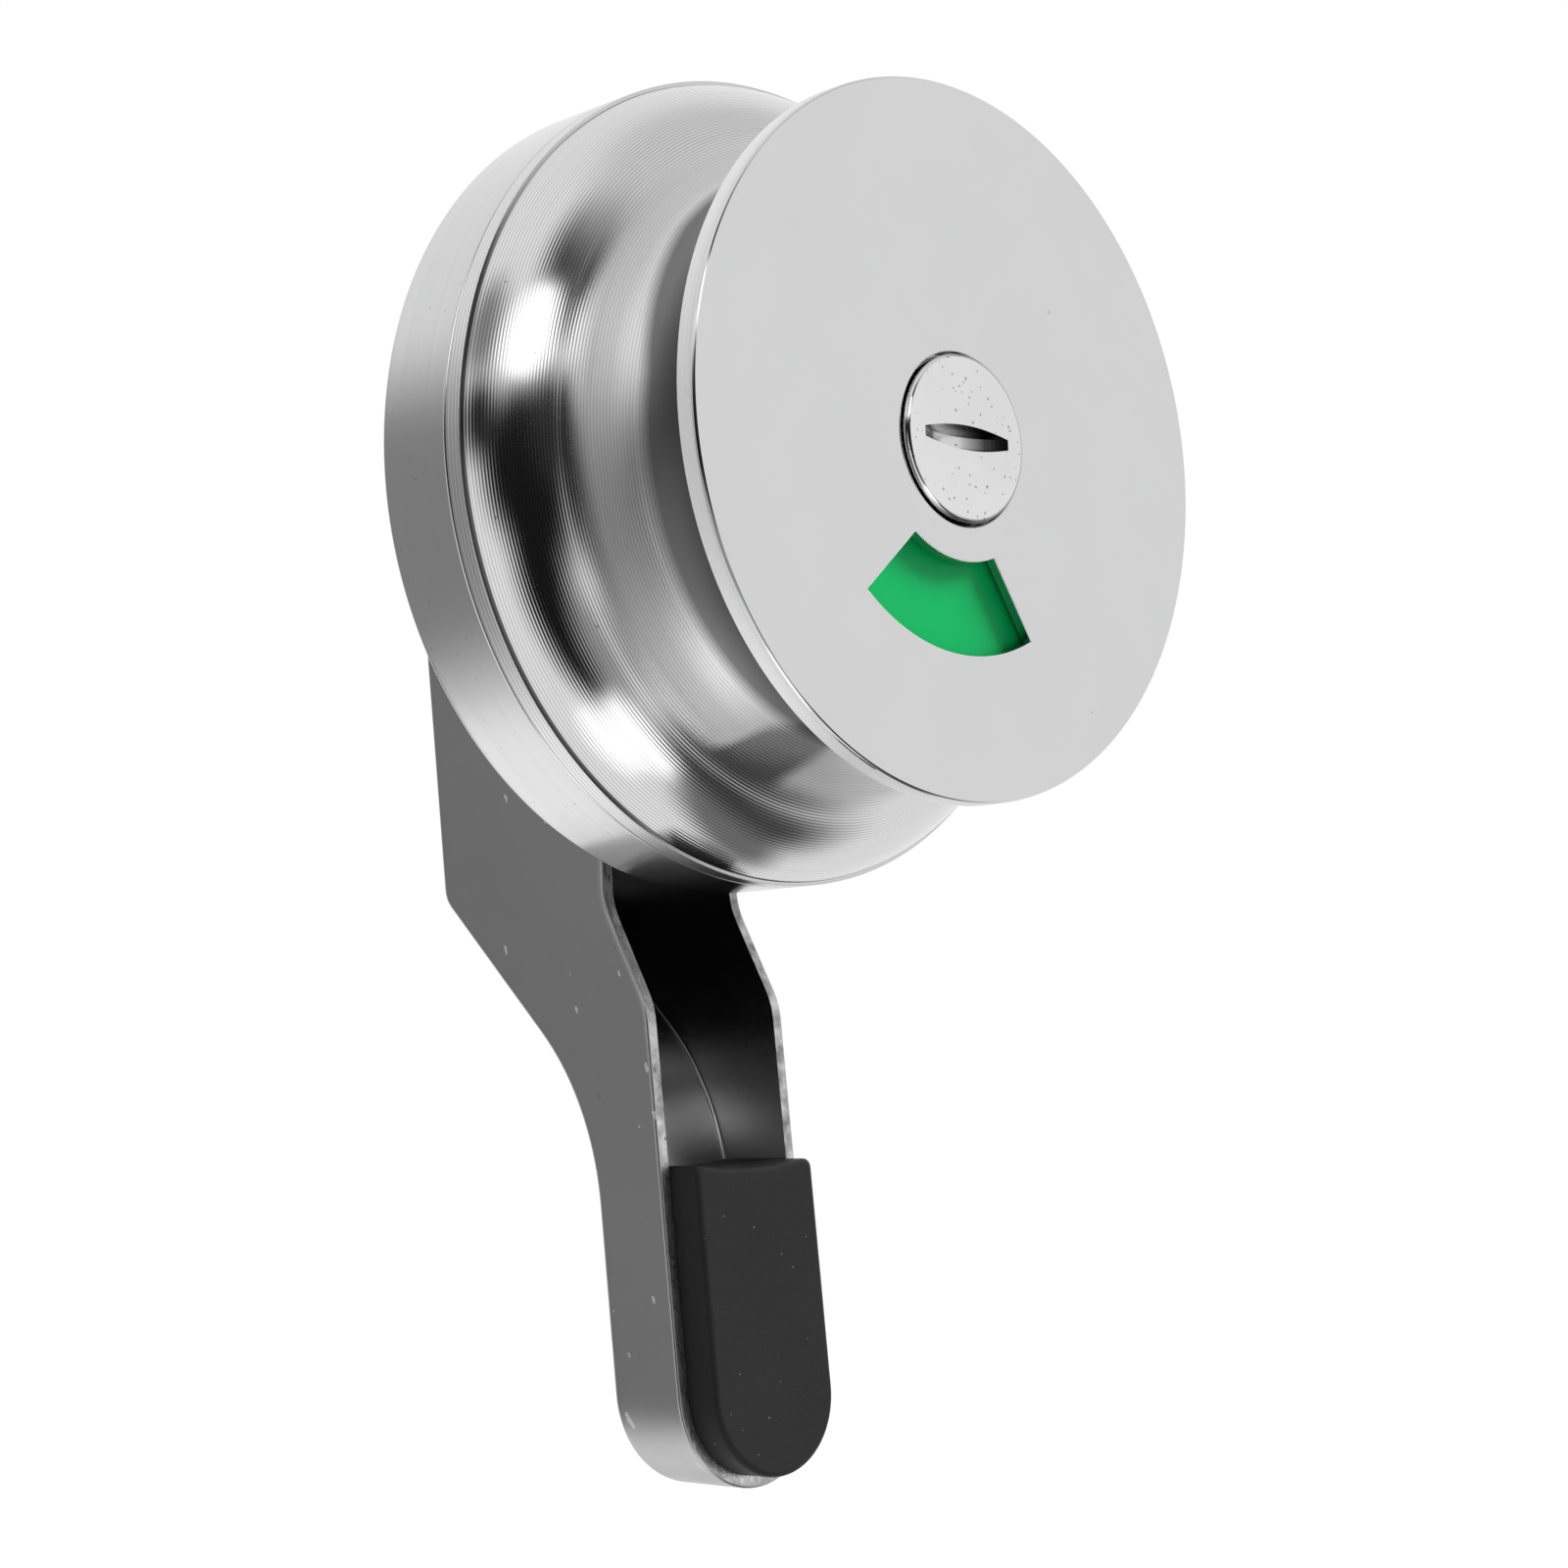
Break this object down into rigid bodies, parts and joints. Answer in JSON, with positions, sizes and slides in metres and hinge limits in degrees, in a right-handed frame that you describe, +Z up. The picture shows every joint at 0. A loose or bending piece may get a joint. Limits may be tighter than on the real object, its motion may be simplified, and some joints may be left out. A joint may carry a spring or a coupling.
{
  "type": "toilet indicator bolt",
  "caption": "Round pull knob with coin-slotted spindle and vacant/engaged window outside, rosette and swinging channel lever with rubber pad inside, clamped through a cubicle door.",
  "frame": {"origin": "on the lock axis, in the plane where the knob's flange meets the door's outside face", "axes": "+Y along the lock axis into the cubicle, +Z up, so that the face disc looks along -Y and the lever hangs along -Z"},
  "size_m": [0.0644, 0.0601, 0.1115],
  "materials": {
    "polished_steel": "mirror polished",
    "turned_steel": "turned, with fine concentric tool marks",
    "satin_steel": "satin, circumferential grain",
    "lever_steel": "satin grey sheet with bright sheared edges",
    "spindle_chrome": "polished, lightly pitted",
    "zinc_steel": "zinc plated",
    "spring_steel": "black oxide spring steel",
    "brass": "plain turned",
    "nylon": "moulded",
    "indicator_grey": "plain",
    "vacant_green": "printed film",
    "engaged_red": "printed film",
    "pad_rubber": "moulded, fine matte texture"
  },
  "bodies": {
    "knob": {"face_plate": "polished_steel", "knob_body": "turned_steel", "knob_core": "nylon", "core_ring": "spring_steel", "spindle_bush": "brass", "fixing_posts": "zinc_steel"},
    "spindle": {"coin_spindle": "spindle_chrome", "indicator_disc": "indicator_grey", "vacant_film": "vacant_green", "engaged_films": "engaged_red", "spindle_washer": "zinc_steel", "spindle_clip": "spring_steel"},
    "rosette": {"rosette_cover": "satin_steel", "rosette_base": "nylon", "hub_bush": "brass", "stop_pins": "zinc_steel", "fixing_screws": "zinc_steel", "screw_washers": "zinc_steel"},
    "lever": {"lever": "lever_steel", "lever_hub": "zinc_steel", "stop_plate": "zinc_steel", "wave_washer": "spring_steel", "hub_clip": "spring_steel", "lever_washer": "zinc_steel", "lever_screw": "zinc_steel", "rubber_pad": "pad_rubber"}
  },
  "joints": [
    {"name": "door_grip", "type": "slide", "parent": "knob", "child": "rosette", "axis": [0, 1, 0], "range_m": [0, 0.013]},
    {"name": "lever_turn", "type": "hinge", "parent": "rosette", "child": "lever", "pos_m": [0, 0, 0], "axis": [0, 1, 0], "range_deg": [-90, 90]},
    {"name": "spindle_turn", "type": "hinge", "parent": "knob", "child": "spindle", "pos_m": [0, 0, 0], "axis": [0, 1, 0], "range_deg": [-90, 90]}
  ],
  "couplings": [
    {"joint": "spindle_turn", "follows": "lever_turn", "ratio": 1}
  ]
}
